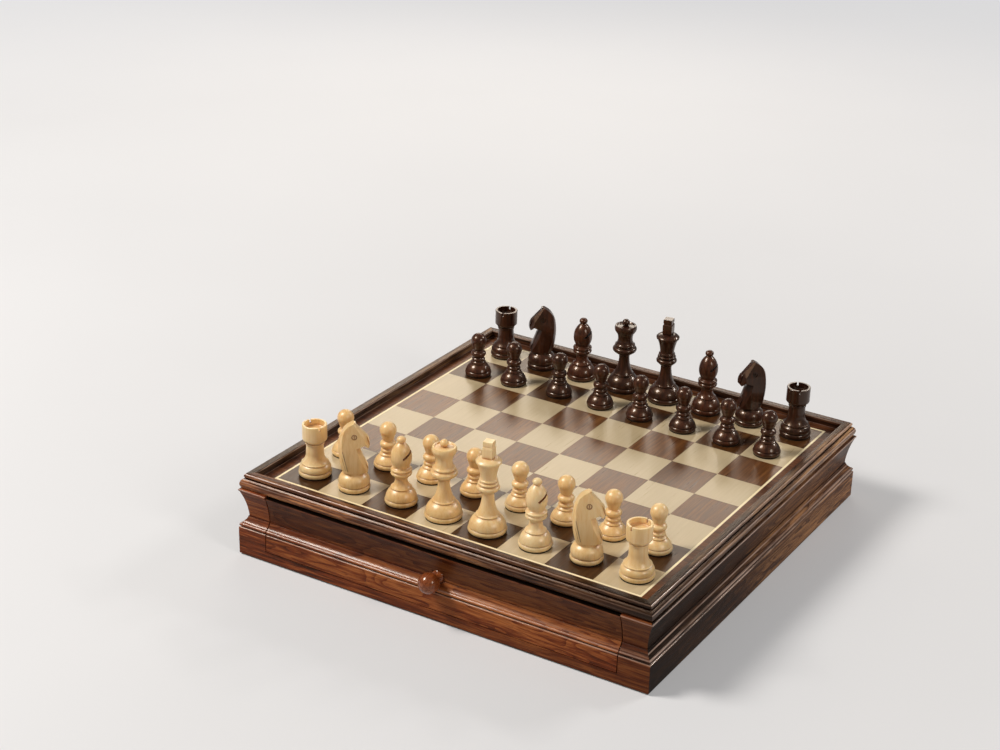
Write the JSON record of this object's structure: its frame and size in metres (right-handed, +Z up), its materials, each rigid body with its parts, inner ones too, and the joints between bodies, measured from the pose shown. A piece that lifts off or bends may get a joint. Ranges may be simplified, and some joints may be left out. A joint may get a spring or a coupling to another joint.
{
  "type": "chess box with drawer",
  "caption": "Square walnut board case with moulded walls, a beaded rim and a knobbed drawer cut from the front moulding, with its turned and carved chessmen set up on the inlaid board",
  "frame": {"origin": "centre of the case's underside, on the table", "axes": "+X from file a to file h, -Y towards the drawer and the light men, +Z up"},
  "size_m": [0.381, 0.3957, 0.1446],
  "materials": {
    "walnut_moulding": "satin",
    "walnut_cap": "satin",
    "walnut_veneer": "gloss",
    "maple_veneer": "gloss",
    "maple_line": "gloss",
    "pale_wood": "matt",
    "plywood": "matt",
    "felt": "napped",
    "knob_wood": "gloss",
    "steel": "plated",
    "boxwood_men": "gloss",
    "ebonised_men": "gloss"
  },
  "bodies": {
    "case": {"cap_front": "walnut_cap", "cap_back": "walnut_cap", "cap_left": "walnut_cap", "cap_right": "walnut_cap", "front_frame": "walnut_moulding", "side_left": "walnut_moulding", "side_right": "walnut_moulding", "side_back": "walnut_moulding", "corner_blocks": "pale_wood", "bottom_panel": "plywood", "base_baize": "felt", "runner_left": "pale_wood", "runner_right": "pale_wood", "board_panel": "plywood", "board_border": "walnut_veneer", "inlay_line": "maple_line", "light_squares": "maple_veneer", "dark_squares": "walnut_veneer"},
    "drawer": {"drawer_front": "walnut_moulding", "drawer_side_left": "pale_wood", "drawer_side_right": "pale_wood", "drawer_back": "pale_wood", "drawer_bottom": "plywood", "drawer_lining": "felt", "drawer_divider": "pale_wood", "knob": "knob_wood", "knob_screw": "steel"},
    "light_rook_a1_body": {"light_rook_a1": "boxwood_men"},
    "light_knight_b1_body": {"light_knight_b1": "boxwood_men"},
    "light_bishop_c1_body": {"light_bishop_c1": "boxwood_men"},
    "light_queen_d1_body": {"light_queen_d1": "boxwood_men"},
    "light_king_e1_body": {"light_king_e1": "boxwood_men"},
    "light_bishop_f1_body": {"light_bishop_f1": "boxwood_men"},
    "light_knight_g1_body": {"light_knight_g1": "boxwood_men"},
    "light_rook_h1_body": {"light_rook_h1": "boxwood_men"},
    "light_pawn_a2_body": {"light_pawn_a2": "boxwood_men"},
    "light_pawn_b2_body": {"light_pawn_b2": "boxwood_men"},
    "light_pawn_c2_body": {"light_pawn_c2": "boxwood_men"},
    "light_pawn_d2_body": {"light_pawn_d2": "boxwood_men"},
    "light_pawn_e2_body": {"light_pawn_e2": "boxwood_men"},
    "light_pawn_f2_body": {"light_pawn_f2": "boxwood_men"},
    "light_pawn_g2_body": {"light_pawn_g2": "boxwood_men"},
    "light_pawn_h2_body": {"light_pawn_h2": "boxwood_men"},
    "dark_rook_a8_body": {"dark_rook_a8": "ebonised_men"},
    "dark_knight_b8_body": {"dark_knight_b8": "ebonised_men"},
    "dark_bishop_c8_body": {"dark_bishop_c8": "ebonised_men"},
    "dark_queen_d8_body": {"dark_queen_d8": "ebonised_men"},
    "dark_king_e8_body": {"dark_king_e8": "ebonised_men"},
    "dark_bishop_f8_body": {"dark_bishop_f8": "ebonised_men"},
    "dark_knight_g8_body": {"dark_knight_g8": "ebonised_men"},
    "dark_rook_h8_body": {"dark_rook_h8": "ebonised_men"},
    "dark_pawn_a7_body": {"dark_pawn_a7": "ebonised_men"},
    "dark_pawn_b7_body": {"dark_pawn_b7": "ebonised_men"},
    "dark_pawn_c7_body": {"dark_pawn_c7": "ebonised_men"},
    "dark_pawn_d7_body": {"dark_pawn_d7": "ebonised_men"},
    "dark_pawn_e7_body": {"dark_pawn_e7": "ebonised_men"},
    "dark_pawn_f7_body": {"dark_pawn_f7": "ebonised_men"},
    "dark_pawn_g7_body": {"dark_pawn_g7": "ebonised_men"},
    "dark_pawn_h7_body": {"dark_pawn_h7": "ebonised_men"}
  },
  "joints": [
    {"name": "drawer_slide", "type": "slide", "parent": "case", "child": "drawer", "axis": [0, -1, 0], "range_m": [0, 0.26]},
    {"name": "lift_light_rook_a1", "type": "slide", "parent": "case", "child": "light_rook_a1_body", "axis": [0, 0, 1], "range_m": [0, 0.09]},
    {"name": "lift_light_knight_b1", "type": "slide", "parent": "case", "child": "light_knight_b1_body", "axis": [0, 0, 1], "range_m": [0, 0.09]},
    {"name": "lift_light_bishop_c1", "type": "slide", "parent": "case", "child": "light_bishop_c1_body", "axis": [0, 0, 1], "range_m": [0, 0.09]},
    {"name": "lift_light_queen_d1", "type": "slide", "parent": "case", "child": "light_queen_d1_body", "axis": [0, 0, 1], "range_m": [0, 0.09]},
    {"name": "lift_light_king_e1", "type": "slide", "parent": "case", "child": "light_king_e1_body", "axis": [0, 0, 1], "range_m": [0, 0.09]},
    {"name": "lift_light_bishop_f1", "type": "slide", "parent": "case", "child": "light_bishop_f1_body", "axis": [0, 0, 1], "range_m": [0, 0.09]},
    {"name": "lift_light_knight_g1", "type": "slide", "parent": "case", "child": "light_knight_g1_body", "axis": [0, 0, 1], "range_m": [0, 0.09]},
    {"name": "lift_light_rook_h1", "type": "slide", "parent": "case", "child": "light_rook_h1_body", "axis": [0, 0, 1], "range_m": [0, 0.09]},
    {"name": "lift_light_pawn_a2", "type": "slide", "parent": "case", "child": "light_pawn_a2_body", "axis": [0, 0, 1], "range_m": [0, 0.09]},
    {"name": "lift_light_pawn_b2", "type": "slide", "parent": "case", "child": "light_pawn_b2_body", "axis": [0, 0, 1], "range_m": [0, 0.09]},
    {"name": "lift_light_pawn_c2", "type": "slide", "parent": "case", "child": "light_pawn_c2_body", "axis": [0, 0, 1], "range_m": [0, 0.09]},
    {"name": "lift_light_pawn_d2", "type": "slide", "parent": "case", "child": "light_pawn_d2_body", "axis": [0, 0, 1], "range_m": [0, 0.09]},
    {"name": "lift_light_pawn_e2", "type": "slide", "parent": "case", "child": "light_pawn_e2_body", "axis": [0, 0, 1], "range_m": [0, 0.09]},
    {"name": "lift_light_pawn_f2", "type": "slide", "parent": "case", "child": "light_pawn_f2_body", "axis": [0, 0, 1], "range_m": [0, 0.09]},
    {"name": "lift_light_pawn_g2", "type": "slide", "parent": "case", "child": "light_pawn_g2_body", "axis": [0, 0, 1], "range_m": [0, 0.09]},
    {"name": "lift_light_pawn_h2", "type": "slide", "parent": "case", "child": "light_pawn_h2_body", "axis": [0, 0, 1], "range_m": [0, 0.09]},
    {"name": "lift_dark_rook_a8", "type": "slide", "parent": "case", "child": "dark_rook_a8_body", "axis": [0, 0, 1], "range_m": [0, 0.09]},
    {"name": "lift_dark_knight_b8", "type": "slide", "parent": "case", "child": "dark_knight_b8_body", "axis": [0, 0, 1], "range_m": [0, 0.09]},
    {"name": "lift_dark_bishop_c8", "type": "slide", "parent": "case", "child": "dark_bishop_c8_body", "axis": [0, 0, 1], "range_m": [0, 0.09]},
    {"name": "lift_dark_queen_d8", "type": "slide", "parent": "case", "child": "dark_queen_d8_body", "axis": [0, 0, 1], "range_m": [0, 0.09]},
    {"name": "lift_dark_king_e8", "type": "slide", "parent": "case", "child": "dark_king_e8_body", "axis": [0, 0, 1], "range_m": [0, 0.09]},
    {"name": "lift_dark_bishop_f8", "type": "slide", "parent": "case", "child": "dark_bishop_f8_body", "axis": [0, 0, 1], "range_m": [0, 0.09]},
    {"name": "lift_dark_knight_g8", "type": "slide", "parent": "case", "child": "dark_knight_g8_body", "axis": [0, 0, 1], "range_m": [0, 0.09]},
    {"name": "lift_dark_rook_h8", "type": "slide", "parent": "case", "child": "dark_rook_h8_body", "axis": [0, 0, 1], "range_m": [0, 0.09]},
    {"name": "lift_dark_pawn_a7", "type": "slide", "parent": "case", "child": "dark_pawn_a7_body", "axis": [0, 0, 1], "range_m": [0, 0.09]},
    {"name": "lift_dark_pawn_b7", "type": "slide", "parent": "case", "child": "dark_pawn_b7_body", "axis": [0, 0, 1], "range_m": [0, 0.09]},
    {"name": "lift_dark_pawn_c7", "type": "slide", "parent": "case", "child": "dark_pawn_c7_body", "axis": [0, 0, 1], "range_m": [0, 0.09]},
    {"name": "lift_dark_pawn_d7", "type": "slide", "parent": "case", "child": "dark_pawn_d7_body", "axis": [0, 0, 1], "range_m": [0, 0.09]},
    {"name": "lift_dark_pawn_e7", "type": "slide", "parent": "case", "child": "dark_pawn_e7_body", "axis": [0, 0, 1], "range_m": [0, 0.09]},
    {"name": "lift_dark_pawn_f7", "type": "slide", "parent": "case", "child": "dark_pawn_f7_body", "axis": [0, 0, 1], "range_m": [0, 0.09]},
    {"name": "lift_dark_pawn_g7", "type": "slide", "parent": "case", "child": "dark_pawn_g7_body", "axis": [0, 0, 1], "range_m": [0, 0.09]},
    {"name": "lift_dark_pawn_h7", "type": "slide", "parent": "case", "child": "dark_pawn_h7_body", "axis": [0, 0, 1], "range_m": [0, 0.09]}
  ]
}
